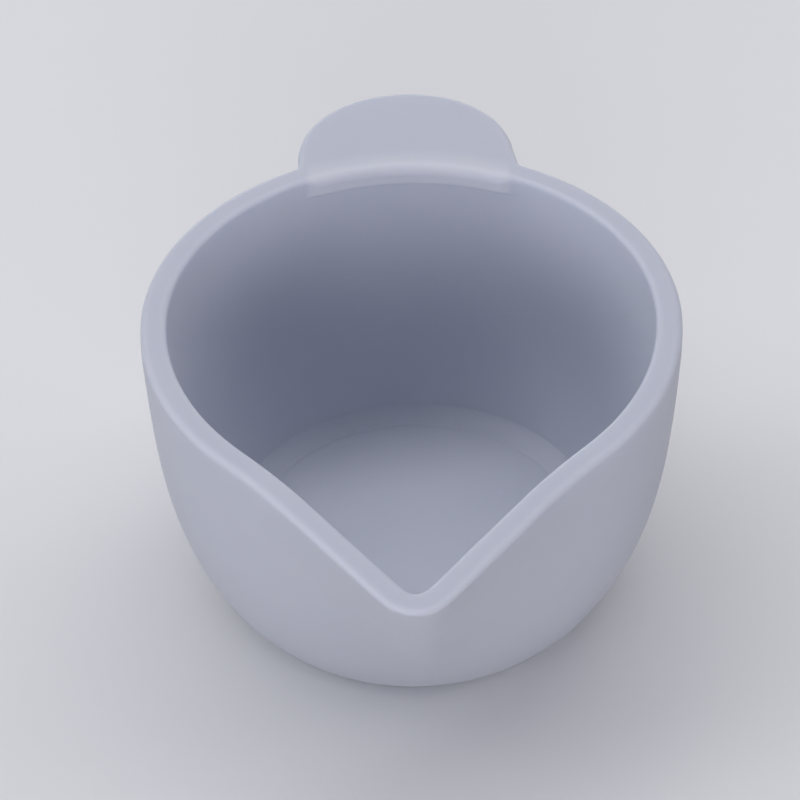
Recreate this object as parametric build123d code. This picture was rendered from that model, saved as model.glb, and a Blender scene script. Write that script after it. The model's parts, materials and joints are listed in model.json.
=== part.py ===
from build123d import *

import os
from math import asin, cos, degrees, radians, sin, sqrt, tan

# A small pouring cup for mixing resin, cast in one piece from soft silicone
# rubber. It stands on the XY plane with the middle of its foot at the origin,
# its spout towards -Y and its thumb tab towards +Y. Every length is in mm.

# The cup as a whole
rim_radius = 25.0
rim_height = 30.2
draft_angle = 2.3
turn_in_power = 3.5
wall = 2.45
floor_thickness = 2.2
floor_corner_radius = 2.4

# The foot
foot_radius = 18.7
foot_height = 0.7
foot_chamfer = 0.2

# The pour spout: its sides leave the round wall as shoulders struck from beyond
# the middle, turn in at the throat and run as straight arms to a small round nose
spout_reach = 38.8
nose_radius = 4.3
shoulder_offset = 3.0
throat_radius = 60.0
throat_dip = 0.86
spout_sector = 100.0

# The rim is an upright band as deep as the thumb tab is thick
outer_edge_chamfer = 0.35
inner_edge_chamfer = 0.2

# The thumb tab, flush with the rim, and the pad that its root makes inside
tab_width = 20.9
tab_reach = 34.6
tab_thickness = 2.1
tab_root_radius = 0.8
pad_step = 0.35

# Heights of the wall's level sections, as shares of the way up to the rim band,
# and the steps that the inside corner takes from the floor to the wall
section_shares = (0.13, 0.26, 0.4, 0.56, 0.76, 1.0)
corner_steps = 3

# Steps along each curve of the rim's outline where those sections have a point
curve_steps = (3, 2, 1, 1, 2)

shoulder_radius = rim_radius + shoulder_offset
band_height = rim_height - tab_thickness
quarter_turn = 90


def wall_radius(height):
    """Outer radius of the round wall: a slight draft, then a turn in towards the foot."""
    draft = (band_height - height) * tan(radians(draft_angle))
    full_draft = band_height * tan(radians(draft_angle))
    depth_share = 1 - height / band_height
    turn_in = (rim_radius - foot_radius - full_draft) * depth_share**turn_in_power
    return rim_radius - draft - turn_in


def keel_reach(height):
    """Reach of the spout's front edge, which slants from the rim band back to the foot."""
    return foot_radius + (spout_reach - foot_radius) * height / band_height


def left_curves(inset):
    """Left half of the rim's outline from the back to the nose, as arcs and a straight arm."""
    nose = nose_radius - inset
    shoulder = shoulder_radius - inset
    throat = throat_radius + inset
    nose_centre = Vector(0, nose_radius - spout_reach)
    shoulder_centre = Vector(shoulder_offset, 0)
    to_nose = nose_centre - shoulder_centre
    arm_offset = shoulder - throat_dip
    lean = degrees(asin((arm_offset - nose) / to_nose.length))
    forward = to_nose.normalized().rotate(Axis.Z, lean)
    outward = forward.rotate(Axis.Z, -90)
    run = sqrt((shoulder + throat) ** 2 - (arm_offset + throat) ** 2)
    throat_centre = shoulder_centre + outward * (arm_offset + throat) + forward * run
    shoulder_end = shoulder_centre + (throat_centre - shoulder_centre).normalized() * shoulder
    throat_end = throat_centre - outward * throat
    nose_start = nose_centre + outward * nose
    back = CenterArc((0, 0), rim_radius - inset, 90, 90)
    shoulder_arc = TangentArc(back @ 1, shoulder_end, tangent=back % 1)
    throat_arc = TangentArc(shoulder_end, throat_end, tangent=shoulder_arc % 1)
    arm = Line(throat_end, nose_start)
    nose_arc = TangentArc(nose_start, nose_centre - Vector(0, nose), tangent=forward)
    return back, shoulder_arc, throat_arc, arm, nose_arc


def level_section(height, inset, corner_inset):
    """Level face through the cup: a circle at the foot that grows into the rim's teardrop."""
    flare_share = (keel_reach(height) - wall_radius(height)) / (spout_reach - rim_radius)
    points = []
    tangents = []
    for curve, steps in zip(left_curves(inset), curve_steps):
        for step in range(steps):
            rim_point = curve @ (step / steps)
            rim_tangent = curve % (step / steps)
            outward = rim_point.normalized()
            departure = rim_point.length - (rim_radius - inset)
            reach = wall_radius(height) - inset - corner_inset + flare_share * departure
            climb = rim_tangent.dot(outward)
            sideways = rim_tangent - outward * climb
            points.append(outward * reach)
            tangents.append(sideways * (reach / rim_point.length) + outward * climb * flare_share)
    front = Vector(0, inset + corner_inset - keel_reach(height))
    mirrored_points = [Vector(-point.X, point.Y) for point in reversed(points[1:])]
    mirrored_tangents = [Vector(tangent.X, -tangent.Y) for tangent in reversed(tangents[1:])]
    points += [front, *mirrored_points]
    tangents += [Vector(1, 0), *mirrored_tangents]
    outline = Spline(*points, tangents=tangents, tangent_scalars=[1] * len(points), periodic=True)
    return Pos(0, 0, height) * make_face(outline)


def wall_sections(inset):
    """Level sections from above the floor up to the rim band."""
    return [level_section(share * band_height, inset, 0) for share in section_shares]


def corner_sections():
    """Level sections of the room inside, round the corner from the floor to the wall."""
    sections = []
    for step in range(corner_steps):
        turn = radians(quarter_turn * step / corner_steps)
        height = floor_thickness + floor_corner_radius * (1 - cos(turn))
        sections.append(level_section(height, wall, floor_corner_radius * (1 - sin(turn))))
    return sections


def teardrop(inset):
    """The rim's plan, set in from its outer edge."""
    left = Curve() + list(left_curves(inset))
    return make_face([*left.edges(), *mirror(left, about=Plane.YZ).edges()])


def tab_plan():
    """The thumb tab's plan: straight sides as far as the rim, then half an ellipse."""
    end = EllipticalCenterArc((0, rim_radius), tab_width / 2, tab_reach - rim_radius, arc_size=180)
    sides = Polyline(end @ 1, (-tab_width / 2, 0), (tab_width / 2, 0), end @ 0)
    return make_face([*sides.edges(), end])


def rim_plan():
    """Plan of the rim band and thumb tab together, less the mouth of the cup."""
    pad = tab_plan() - Circle(rim_radius - wall - pad_step)
    mouth = teardrop(wall) - pad
    outside = teardrop(0) + tab_plan()
    roots = outside.vertices().filter_by_position(Axis.Y, rim_radius / 2, rim_radius - tab_root_radius)
    return fillet(roots, tab_root_radius) - mouth


def rim_and_tab():
    """Rim band and thumb tab, with their top edges eased."""
    plate = extrude(Pos(0, 0, band_height) * rim_plan(), tab_thickness)
    top = plate.faces().sort_by(Axis.Z)[-1]
    plate = chamfer(top.outer_wire().edges(), outer_edge_chamfer)
    mouth_edge = plate.faces().sort_by(Axis.Z)[-1].inner_wires()[0].edges()
    return chamfer(mouth_edge, inner_edge_chamfer)


def foot():
    """The low round step that the cup stands on."""
    disc = Cylinder(foot_radius, foot_height, align=(Align.CENTER, Align.CENTER, Align.MIN))
    return chamfer(disc.faces().sort_by(Axis.Z)[0].edges(), foot_chamfer)


def bowl():
    """The bowl and its spout, from the foot up to the rim band."""
    room = loft(corner_sections() + wall_sections(wall), ruled=True)
    return loft([level_section(foot_height, 0, 0), *wall_sections(0)], ruled=True) - room


def slab(low, high):
    """Level slice of space that takes in the whole plan of the cup."""
    span = 2 * (spout_reach + tab_reach)
    return Pos(0, 0, low) * Box(span, span, high - low, align=(Align.CENTER, Align.CENTER, Align.MIN))


def spout_space():
    """Wedge of space, from the cup's middle forwards, that takes in the pour spout."""
    reach = spout_reach + tab_reach
    half_width = reach * tan(radians(spout_sector / 2))
    outline = Polyline((0, 0), (-half_width, -reach), (half_width, -reach), close=True)
    return extrude(make_face(outline), rim_height)


def tab_space():
    """Upright block of space that takes in the thumb tab and its root in the rim."""
    width = tab_width + 2 * tab_root_radius
    return Box(width, tab_reach, rim_height, align=(Align.CENTER, Align.MIN, Align.MIN))


# The casting is divided where its forms meet, and the pieces touch face to face
casting = bowl()
side = casting & slab(floor_thickness, band_height)
top = rim_and_tab()
pieces = {
    "foot": foot(),
    "cup_floor": casting & slab(foot_height, floor_thickness),
    "bowl_wall": side - spout_space(),
    "pour_spout": side & spout_space(),
    "rim_band": top - tab_space(),
    "thumb_tab": top & tab_space(),
}

os.makedirs("parts", exist_ok=True)
for name, shape in pieces.items():
    export_step(shape, f"parts/{name}.step")
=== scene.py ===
import json
from math import acos, atan2, cos, degrees, pi, radians, sin, sqrt, tan

import bmesh
import bpy
from mathutils import Matrix, Quaternion, Vector

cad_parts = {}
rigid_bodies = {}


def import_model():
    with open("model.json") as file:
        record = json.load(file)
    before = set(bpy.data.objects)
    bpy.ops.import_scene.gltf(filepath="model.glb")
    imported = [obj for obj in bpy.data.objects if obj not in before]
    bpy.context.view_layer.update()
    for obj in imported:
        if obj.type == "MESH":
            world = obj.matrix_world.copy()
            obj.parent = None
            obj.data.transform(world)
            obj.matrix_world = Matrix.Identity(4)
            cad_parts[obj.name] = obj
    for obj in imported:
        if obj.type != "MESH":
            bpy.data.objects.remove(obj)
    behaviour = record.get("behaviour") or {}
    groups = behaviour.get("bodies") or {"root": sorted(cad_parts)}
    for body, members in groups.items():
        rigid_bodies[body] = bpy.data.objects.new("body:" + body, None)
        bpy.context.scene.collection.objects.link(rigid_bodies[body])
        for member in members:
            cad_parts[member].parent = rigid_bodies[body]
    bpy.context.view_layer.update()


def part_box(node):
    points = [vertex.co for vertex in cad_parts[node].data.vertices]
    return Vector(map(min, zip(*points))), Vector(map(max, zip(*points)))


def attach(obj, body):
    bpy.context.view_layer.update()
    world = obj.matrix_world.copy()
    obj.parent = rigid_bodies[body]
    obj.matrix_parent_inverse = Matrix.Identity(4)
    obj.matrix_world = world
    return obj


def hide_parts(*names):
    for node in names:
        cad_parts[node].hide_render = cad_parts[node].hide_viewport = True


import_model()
for thing in bpy.data.objects:
    thing.select_set(False)
mm = 0.001

# The mixing cup
# One casting of milky silicone rubber, poured in a polished mould and peeled out.
# Bowl, spout, rim, tab and foot run into one another with no joint, so one skin
# stands for all six regions of the frame.
rim_low, rim_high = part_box("rim_band")
foot_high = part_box("foot")[1]
rim_radius = rim_high.x
rim_height = rim_high.z
band_height = rim_low.z
spout_reach = -rim_low.y
foot_radius = foot_high.x
foot_height = foot_high.z
floor_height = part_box("cup_floor")[1].z
tab_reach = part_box("thumb_tab")[1].y
wall = 2.45 * mm
draft_angle = radians(2.3)
turn_in_power = 3.5


def wall_radius(height):
    """Outer radius of the round wall: a slight draft, then a turn in towards the foot."""
    full_draft = band_height * tan(draft_angle)
    depth_share = max(0.0, 1 - height / band_height)
    turn_in = (rim_radius - foot_radius - full_draft) * depth_share**turn_in_power
    return rim_radius - full_draft * depth_share - turn_in


# The spout's plan at the rim: shoulder and throat arcs, a straight arm and a nose
nose_radius = 3.5 * mm
shoulder_offset = 3.0 * mm
shoulder_radius = rim_radius + shoulder_offset
throat_radius = 60.0 * mm
throat_dip = 0.86 * mm


def spout_plan(inset):
    """Centres, radii and joints of the right half of the rim's outline, set in by a distance."""
    nose = nose_radius - inset
    shoulder = shoulder_radius - inset
    throat = throat_radius + inset
    nose_centre = Vector((0, nose_radius - spout_reach))
    shoulder_centre = Vector((-shoulder_offset, 0))
    to_nose = nose_centre - shoulder_centre
    arm_offset = shoulder - throat_dip
    turn = acos((arm_offset - nose) / to_nose.length)
    outward = to_nose.normalized()
    outward.rotate(Matrix.Rotation(turn, 2))
    along = Vector((outward.y, -outward.x))
    run = sqrt((shoulder + throat) ** 2 - (arm_offset + throat) ** 2)
    throat_centre = shoulder_centre + outward * (arm_offset + throat) + along * run
    shoulder_end = shoulder_centre + (throat_centre - shoulder_centre).normalized() * shoulder
    throat_end = throat_centre - outward * throat
    nose_start = nose_centre + outward * nose
    return {
        "nose": (nose_centre, nose, nose_start),
        "shoulder": (shoulder_centre, shoulder, shoulder_end),
        "throat": (throat_centre, throat, throat_end),
        "arm": (nose_start, outward),
    }


def ray_to_circle(ray, centre, radius, near):
    """Distance along a ray from the middle to a circle."""
    middle = ray.dot(centre)
    half = sqrt(max(0.0, middle**2 - centre.length_squared + radius**2))
    return middle - half if near else middle + half


# Plans already worked out, by how far they are set in
plans = {}


def outline_reach(turn, inset):
    """Distance from the middle to the rim's outline; a turn of zero is the nose."""
    turn = abs(turn)
    if turn >= pi / 2:
        return rim_radius - inset
    if inset not in plans:
        plans[inset] = spout_plan(inset)
    plan = plans[inset]
    ray = Vector((sin(turn), -cos(turn)))

    def turn_of(point):
        return atan2(point.x, -point.y)

    if turn >= turn_of(plan["shoulder"][2]):
        return ray_to_circle(ray, *plan["shoulder"][:2], False)
    if turn >= turn_of(plan["throat"][2]):
        return ray_to_circle(ray, *plan["throat"][:2], True)
    if turn >= turn_of(plan["nose"][2]):
        start, outward = plan["arm"]
        return start.dot(outward) / ray.dot(outward)
    return ray_to_circle(ray, *plan["nose"][:2], False)


def place(vertex, radius, height, inset, spout_share):
    """Puts a vertex on a round ring that grows into the spout's plan with height."""
    turn = atan2(vertex.co.x, -vertex.co.y)
    keel = foot_radius + (spout_reach - foot_radius) * height / rim_height
    flare = max(0.0, (keel - wall_radius(height)) / (spout_reach - rim_radius))
    departure = outline_reach(turn, inset) - (rim_radius - inset)
    reach = radius + flare * spout_share * departure
    vertex.co = (sin(turn) * reach, -cos(turn) * reach, height)


# Rings run from under the foot, up outside, over the rim and down to the floor.
# Each has a radius, a height, how far it is set in from the rim's outline, and
# the share that it takes of the spout's departure from round.
under_shares = (0.6, 0.93)
foot_edge = 0.12 * mm
foot_edge_height = 0.10 * mm
neck_depth = 0.30 * mm
neck_round = 0.08 * mm
wall_start = wall_radius(foot_height)
wall_lead = 0.06 * mm
wall_lead_height = 0.20 * mm
rings = [(foot_radius * share, 0, 0, 0) for share in under_shares]
rings += [
    (foot_radius - foot_edge, 0, 0, 0),
    (foot_radius, foot_edge_height, 0, 0),
    (foot_radius, foot_height - neck_depth, 0, 0),
    (foot_radius - neck_round, foot_height - 2 * neck_round, 0, 0),
    (foot_radius - neck_depth, foot_height - neck_round, 0, 0),
    (foot_radius - neck_depth, foot_height + neck_round / 2, 0, 0),
    (wall_start - neck_depth / 2, foot_height + wall_lead, 0, 1),
    (wall_start + wall_lead, foot_height + wall_lead_height, 0, 1),
]
outside_shares = (0.05, 0.11, 0.19, 0.29, 0.41, 0.55, 0.72, 0.9, 0.985)
for share in outside_shares:
    rings.append((wall_radius(share * band_height), share * band_height, 0, 1))

# The rim stands upright on the wall, with a round edge outside and a closer one inside
outer_round = 0.6 * mm
inner_round = 0.45 * mm
round_turns = [radians(turn) for turn in (0, 30, 60, 90)]
band_lead = 0.35 * mm
outer_lead = 0.30 * mm
inner_lead = 0.25 * mm
rings.append((rim_radius, band_height, 0, 1))
rings.append((rim_radius, band_height + band_lead, 0, 1))
for turn in round_turns:
    inset = outer_round * (1 - cos(turn))
    height = rim_height - outer_round * (1 - sin(turn))
    rings.append((rim_radius - inset, height, inset, 1))
for inset in (outer_round + outer_lead, wall / 2, wall - inner_round - inner_lead):
    rings.append((rim_radius - inset, rim_height, inset, 1))
for turn in round_turns:
    inset = wall - inner_round * (1 - sin(turn))
    height = rim_height - inner_round * (1 - cos(turn))
    rings.append((rim_radius - inset, height, inset, 1))
rings.append((rim_radius - wall, (band_height + rim_height) / 2, wall, 1))

# Close rings at the foot of the band keep the pad's lower edge crisp
pad_edge_heights = (0.4 * mm, 0.03 * mm, -0.05 * mm, -0.3 * mm)
for above in pad_edge_heights:
    rings.append((rim_radius - wall, band_height + above, wall, 1))
inside_shares = (0.96, 0.85, 0.7, 0.55, 0.42, 0.31, 0.22, 0.15, 0.125)
for share in inside_shares:
    rings.append((wall_radius(share * band_height) - wall, share * band_height, wall, 1))

# A narrow round corner leads from the wall to the floor
corner_width = 1.45 * mm
corner_height = 0.85 * mm
corner_sag = 0.4
corner_lead = 0.12 * mm
corner_shares = (0, 0.06, 0.5, 0.94, 1)
corner_top = floor_height + corner_height
corner_reach = wall_radius(corner_top) - wall
corner_foot = wall_radius(floor_height) - wall - corner_width
rings.append((wall_radius(corner_top + corner_lead) - wall, corner_top + corner_lead, wall, 1))
for share in corner_shares:
    sag = corner_sag * share * (1 - share)
    radius = corner_reach + (corner_foot - corner_reach) * share + sag * corner_width
    height = corner_top - corner_height * (share + sag)
    rings.append((radius, height, wall, 1))

# A hairline groove runs round the floor where the corner meets it. Each step has
# its share of the way out from the middle and whether it is down in the groove.
groove = 0.09 * mm
floor_steps = ((0.992, 0), (0.98, 1), (0.968, 1), (0.955, 0), (0.6, 0), (0.2, 0))
for share, sunk in floor_steps:
    rings.append((share * corner_foot, floor_height - sunk * groove, wall, share))

columns = 96
start_share = 0.12
bpy.ops.mesh.primitive_circle_add(
    vertices=columns, radius=start_share * foot_radius, fill_type="TRIFAN", rotation=(pi, 0, 0)
)
cup = bpy.context.object
cup.name = "silicone_cup"
bpy.ops.object.transform_apply(location=True, rotation=True, scale=True)
bpy.ops.object.mode_set(mode="EDIT")
bpy.ops.mesh.select_mode(type="EDGE")
skin = bmesh.from_edit_mesh(cup.data)


def turn_to(vertex, turn):
    """Moves a vertex round the middle; a turn of zero is the tab."""
    vertex.co.xy = Vector((sin(turn), cos(turn))) * vertex.co.xy.length


# The columns close up towards the spout's nose, and beside the tab's root five
# columns on each side move from one turn to another, both in degrees.
nose_crowding = 0.6
root_turns = {15.0: 15.4, 18.75: 19.8, 22.5: 24.0, 26.25: 25.5, 30.0: 29.4}
for vertex in skin.verts:
    turn = atan2(vertex.co.x, vertex.co.y)
    moved = root_turns.get(round(abs(degrees(turn)), 2))
    if moved:
        turn_to(vertex, radians(moved) * (1 if turn > 0 else -1))
    elif abs(turn) > pi / 2:
        turn_to(vertex, turn - nose_crowding * sin(2 * turn) / 2)

for edge in skin.edges:
    edge.select_set(len(edge.link_faces) == 1)
for ring in rings:
    bpy.ops.mesh.extrude_region_move()
    skin = bmesh.from_edit_mesh(cup.data)
    for vertex in skin.verts:
        if vertex.select:
            place(vertex, *ring)
bpy.ops.mesh.extrude_region_move()
bpy.ops.mesh.merge(type="CENTER")

# The thumb tab is drawn out of the back of the rim, which keeps its rounded edge.
# Each vertex carries its place along the tab's outline and its distance inside it.
tab_half = 10.55 * mm
tab_lean = radians(4.0)
tab_shift = -0.3 * mm
tab_end_turn = radians(25.5)
tab_rows = (0.1, 0.28, 0.5, 0.72, 0.9, 0.96, 1)


def tab_point(share, inset):
    """Point on the tab's outline, from one root (-1) round the end to the other (1)."""
    across = (tab_half - inset) * sin(share * pi / 2)
    out = (tab_reach - rim_radius - inset) * cos(share * pi / 2)
    lean = Matrix.Rotation(tab_lean, 2)
    return Vector((tab_shift, rim_radius)) + lean @ Vector((across, out))


bpy.ops.mesh.select_all(action="DESELECT")
bpy.ops.mesh.select_mode(type="FACE")
skin = bmesh.from_edit_mesh(cup.data)
layers = skin.verts.layers.float
layers.new("tab_share")
layers.new("tab_inset")
share_layer, inset_layer = layers["tab_share"], layers["tab_inset"]
for face in skin.faces:
    middle = face.calc_center_median()
    outside = middle.xy.length > rim_radius - outer_round and middle.z > band_height
    face.select_set(outside and abs(atan2(middle.x, middle.y)) < tab_end_turn)
for vertex in skin.verts:
    if vertex.select:
        vertex[share_layer] = atan2(vertex.co.x, vertex.co.y) / tab_end_turn
        vertex[inset_layer] = rim_radius - vertex.co.xy.length
for row in tab_rows:
    bpy.ops.mesh.extrude_region_move()
    skin = bmesh.from_edit_mesh(cup.data)
    layers = skin.verts.layers.float
    share_layer, inset_layer = layers["tab_share"], layers["tab_inset"]
    for vertex in skin.verts:
        if vertex.select:
            share, inset = vertex[share_layer], vertex[inset_layer]
            turn = share * tab_end_turn
            root = Vector((sin(turn), cos(turn))) * (rim_radius - inset)
            vertex.co.xy = root.lerp(tab_point(share, inset), row)
layers.remove(layers["tab_share"])
layers.remove(layers["tab_inset"])

# Inside, the tab's root shows as a low pad as deep as the tab is thick, with a
# rounder top edge than the rim has beside it
pad_turn = radians(24.3)
pad_step = 0.42 * mm
pad_round_share = 2.0
pad_slack = 0.1 * mm
pad_margin = 0.3 * mm
hair = 0.01 * mm
inner_reach = rim_radius - wall
for vertex in skin.verts:
    out = vertex.co.xy.length - inner_reach
    drop = rim_height - vertex.co.z
    in_pad = -pad_slack < out < inner_round + pad_margin and vertex.co.z > band_height
    if in_pad and abs(atan2(vertex.co.x, vertex.co.y)) < pad_turn:
        if drop < inner_round + hair:
            vertex.co.z = rim_height - pad_round_share * drop
            out *= pad_round_share
        vertex.co.xy *= (inner_reach - pad_step + out) / vertex.co.xy.length
bpy.ops.object.mode_set(mode="OBJECT")

bpy.ops.object.modifier_add(type="SUBSURF")
cup.modifiers[-1].levels = 2
cup.modifiers[-1].render_levels = 2
bpy.ops.object.modifier_apply(modifier=cup.modifiers[-1].name)
bpy.ops.object.shade_smooth()


class Shade:
    """A socket with Python's sums on it; each sum adds its Math node."""

    def __init__(self, tree, socket):
        self.tree = tree
        self.socket = socket

    def sum_with(self, operation, other):
        node = self.tree.nodes.new("ShaderNodeMath")
        node.operation = operation
        self.tree.links.new(self.socket, node.inputs[0])
        if isinstance(other, Shade):
            self.tree.links.new(other.socket, node.inputs[1])
        else:
            node.inputs[1].default_value = other
        return Shade(self.tree, node.outputs[0])

    def __add__(self, other):
        return self.sum_with("ADD", other)

    def __mul__(self, other):
        return self.sum_with("MULTIPLY", other)

    def __pow__(self, other):
        return self.sum_with("POWER", other)

    __radd__ = __add__
    __rmul__ = __mul__


class Finish:
    """A material and the methods that add nodes to it."""

    def __init__(self, name):
        self.material = bpy.data.materials.new(name)
        self.material.use_nodes = True
        self.tree = self.material.node_tree
        self.shader = self.tree.nodes["Principled BSDF"]

    def add(self, kind, settings=None, output=0, **inputs):
        """Adds a node, sets it up, fills its sockets and gives one of its outputs."""
        node = self.tree.nodes.new("ShaderNode" + kind)
        for name, value in (settings or {}).items():
            setattr(node, name, value)
        self.fill(node, inputs)
        return Shade(self.tree, node.outputs[output])

    def fill(self, node, inputs):
        """Sets or links a node's enabled sockets by name, with underscores for spaces."""
        for name, value in inputs.items():
            wanted = name.replace("_", " ").lower()
            socket = next(s for s in node.inputs if s.enabled and s.name.lower() == wanted)
            if isinstance(value, Shade):
                self.tree.links.new(value.socket, socket)
            else:
                socket.default_value = value

    def mix(self, share, first, second):
        """A mix of two colours; a share of zero gives the first."""
        settings = {"data_type": "RGBA"}
        return self.add("Mix", settings, output=2, Factor=share, A=first, B=second)

    def fade(self, value, low, high, start=0.0, end=1.0):
        """A smooth mask from start to end as a value goes from low to high."""
        return self.add(
            "MapRange",
            {"interpolation_type": "SMOOTHSTEP"},
            Value=value,
            From_Min=low,
            From_Max=high,
            To_Min=start,
            To_Max=end,
        )

    def set(self, **values):
        """Sets or links sockets of the shader itself."""
        self.fill(self.shader, values)


# The rubber is faintly cloudy, with a fine grain and faint smears in its gloss
deep_milk = (0.560, 0.592, 0.685, 1)
pale_milk = (0.610, 0.632, 0.715, 1)
# A lighter milk for the painted glow at the tab's root
painted_glow_colour = (0.74, 0.75, 0.80, 1)
painted_glow_share = 0.4
silicone = Finish("milky_silicone")
spot = silicone.add("TexCoord", output=3)
cloud = silicone.add("TexNoise", Vector=spot, Scale=70.0, Detail=3.0, Roughness=0.55)
grain = silicone.add("TexNoise", Vector=spot, Scale=1800.0, Detail=2.0, Roughness=0.5)
smear = silicone.add("TexNoise", Vector=spot, Scale=240.0, Detail=4.0, Roughness=0.6)

# Painted glow: where the tab's root thickens the wall, a lighter milk is painted into the
# colour. It stands in for light that comes in through the tab and shines out on the inner wall.
# The masks' pairs of values are where each starts and ends.
band_fade = 0.2 * mm
width_fade = (9.4 * mm, 10.2 * mm)
mouth_fade = (22.8 * mm, 25.5 * mm)
back_fade = 10 * mm
axes = silicone.add("SeparateXYZ", Vector=spot).socket.node.outputs
across, along, up = (Shade(silicone.tree, axis) for axis in axes)
on_band = silicone.fade(up, band_height - band_fade, band_height + band_fade)
in_width = silicone.fade(across**2, width_fade[0] ** 2, width_fade[1] ** 2, 1.0, 0.0)
from_middle = across**2 + along**2
near_mouth = silicone.fade(from_middle, mouth_fade[0] ** 2, mouth_fade[1] ** 2, 1.0, 0.0)
at_back = silicone.fade(along, 0.0, back_fade)
# Painted glow: this mask mixes a lighter milk into the base colour in place of light shining
# through the tab's root
painted_glow_mask = on_band * in_width * near_mouth * at_back * painted_glow_share
silicone.set(
    Base_Color=silicone.mix(painted_glow_mask, silicone.mix(cloud, deep_milk, pale_milk), painted_glow_colour),
    Roughness=0.40 + smear * 0.16,
    Normal=silicone.add(
        "Bump", Strength=0.25, Distance=0.04 * mm, Height=grain * 0.6 + smear * 0.8
    ),
    Subsurface_Weight=0.75,
    Subsurface_Radius=(1.0, 0.95, 1.0),
    Subsurface_Scale=1.4 * mm,
    IOR=1.41,
    Specular_IOR_Level=0.42,
)
cup.data.materials.clear()
cup.data.materials.append(silicone.material)
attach(cup, "root")
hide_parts("foot", "cup_floor", "bowl_wall", "pour_spout", "rim_band", "thumb_tab")

# The floor
# A plain sheet of pale paper that the foot stands on, a hair below it. It looks
# pale to the camera but throws back little light, so the cup keeps its shading.
floor_span = 0.9
floor_gap = 0.02 * mm
shown_papers = ((0.84, 0.845, 0.86, 1), (0.86, 0.865, 0.88, 1))
dim_paper = (0.3, 0.3, 0.31, 1)
camera_ray, glossy_ray, transmission_ray = 0, 3, 6
bpy.ops.object.select_all(action="DESELECT")
bpy.ops.mesh.primitive_plane_add(size=floor_span, location=(0, 0, -floor_gap))
floor = bpy.context.object
floor.name = "pale_floor"
paper = Finish("pale_paper")
paper_spot = paper.add("TexCoord", output=3)
paper_tone = paper.add("TexNoise", Vector=paper_spot, Scale=40.0, Detail=3.0)
seen = paper.add("LightPath", output=camera_ray)
for kind_of_ray in (glossy_ray, transmission_ray):
    seen += paper.add("LightPath", output=kind_of_ray)
paper.set(
    Base_Color=paper.mix(seen, dim_paper, paper.mix(paper_tone, *shown_papers)),
    Roughness=0.85,
)
floor.data.materials.append(paper.material)

# Light and camera
# A broad lamp overhead and a weak one low on each side light a dim room. The
# camera looks down at the spout as the photograph does, and past the floor it
# sees a plain pale backdrop.
room_tint = (0.80, 0.86, 1.0, 1)
room_strength = 0.19
backdrop_tint = (0.70, 0.71, 0.73, 1)
world = bpy.data.worlds.new("room")
bpy.context.scene.world = world
world.use_nodes = True
room_tree = world.node_tree
room = room_tree.nodes["Background"]
room.inputs["Color"].default_value = room_tint
room.inputs["Strength"].default_value = room_strength
backdrop = room_tree.nodes.new("ShaderNodeBackground")
backdrop.inputs["Color"].default_value = backdrop_tint
ray_kind = room_tree.nodes.new("ShaderNodeLightPath")
chosen = room_tree.nodes.new("ShaderNodeMixShader")
room_tree.links.new(ray_kind.outputs["Is Camera Ray"], chosen.inputs[0])
room_tree.links.new(room.outputs[0], chosen.inputs[1])
room_tree.links.new(backdrop.outputs[0], chosen.inputs[2])
room_tree.links.new(chosen.outputs[0], room_tree.nodes["World Output"].inputs["Surface"])

# Each lamp has a name, a place, a size, a power, a tint and a spread in degrees
lamps = (
    ("overhead_lamp", (-0.05, 0.19, 0.62), (1.50, 0.26), 2.9, (1.0, 0.98, 0.98), 180),
    ("front_lamp", (-0.02, -0.62, 0.10), (0.50, 0.30), 0.48, (1.0, 0.97, 0.99), 80),
    ("left_lamp", (-0.60, 0.10, 0.21), (0.40, 0.26), 0.19, (0.98, 0.98, 1.0), 80),
    ("right_lamp", (0.60, 0.10, 0.21), (0.40, 0.26), 0.12, (1.0, 0.95, 0.96), 80),
    ("back_lamp", (0.0, 0.62, 0.10), (0.50, 0.20), 0.09, (0.98, 0.98, 1.0), 80),
)
cup_middle = Vector((0, 0, rim_height / 2))
for name, lamp_spot, (width, depth), power, tint, spread in lamps:
    bpy.ops.object.light_add(type="AREA", location=lamp_spot)
    lamp = bpy.context.object
    lamp.name = name
    lamp.data.shape = "ELLIPSE"
    lamp.data.size = width
    lamp.data.size_y = depth
    lamp.data.energy = power
    lamp.data.color = tint
    lamp.data.spread = radians(spread)
    lamp.rotation_euler = (cup_middle - Vector(lamp_spot)).to_track_quat("-Z", "Y").to_euler()

camera_elevation = radians(42.38)
camera_distance = 300 * mm
camera_roll = radians(-1.18)
camera_lens = 141.7
camera_aim = Vector((-1.2, 2.31, 17.53)) * mm
camera_target = Vector((0, 0, 15 * mm))
towards_camera = Vector((0, -cos(camera_elevation), sin(camera_elevation)))
bpy.ops.object.camera_add(location=camera_target + towards_camera * camera_distance)
camera = bpy.context.object
camera.name = "camera"
sight = (camera_aim - camera.location).to_track_quat("-Z", "Y")
camera.rotation_euler = (sight @ Quaternion((0, 0, 1), camera_roll)).to_euler()
camera.data.sensor_width = 36
camera.data.lens = camera_lens
camera.data.clip_start = 10 * mm
bpy.context.scene.camera = camera
bpy.context.scene.view_settings.view_transform = "Standard"
